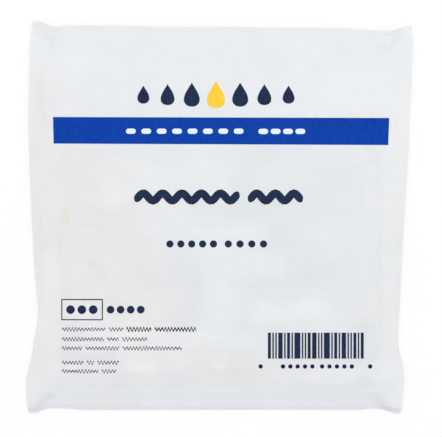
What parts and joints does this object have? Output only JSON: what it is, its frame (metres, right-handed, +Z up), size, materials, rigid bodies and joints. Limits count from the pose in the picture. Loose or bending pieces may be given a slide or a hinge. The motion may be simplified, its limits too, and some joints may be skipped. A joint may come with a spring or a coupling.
{
  "type": "packed disposable shower cap",
  "caption": "Folded disposable shower cap with a gathered elastic rim, sealed in a flat printed film pouch whose top strip tears off so that the cap slides out.",
  "frame": {"origin": "middle of the footprint, on the table that the pouch lies on", "axes": "+X across the pouch, +Y to its top edge, +Z up from the table, out of the printed front"},
  "size_m": [0.1022, 0.1042, 0.0084],
  "materials": {
    "pouch_back_film": "satin",
    "pouch_front_film": "satin",
    "strip_film": "satin",
    "heat_seal": "satin",
    "blue_ink": "satin",
    "cap_film": "satin",
    "elastic": "matte"
  },
  "bodies": {
    "pouch": {"back_film": "pouch_back_film", "front_film": "pouch_front_film", "bottom_seal": "heat_seal", "printed_band": "blue_ink"},
    "tear_strip": {"strip_back_film": "strip_film", "strip_front_film": "strip_film", "top_seal": "heat_seal"},
    "cap": {"cap_crown_film": "cap_film", "cap_hem": "cap_film", "cap_elastic": "elastic"}
  },
  "joints": [
    {"name": "strip_tear_off", "type": "slide", "parent": "pouch", "child": "tear_strip", "axis": [0, 1, 0], "range_m": [0, 0.105]},
    {"name": "cap_draw_out", "type": "slide", "parent": "pouch", "child": "cap", "axis": [0, 1, 0], "range_m": [0, 0.095], "deforming": ["front_film", "printed_band"]}
  ],
  "couplings": [
    {"joint": "cap_draw_out", "follows": "strip_tear_off", "ratio": 0.9}
  ]
}
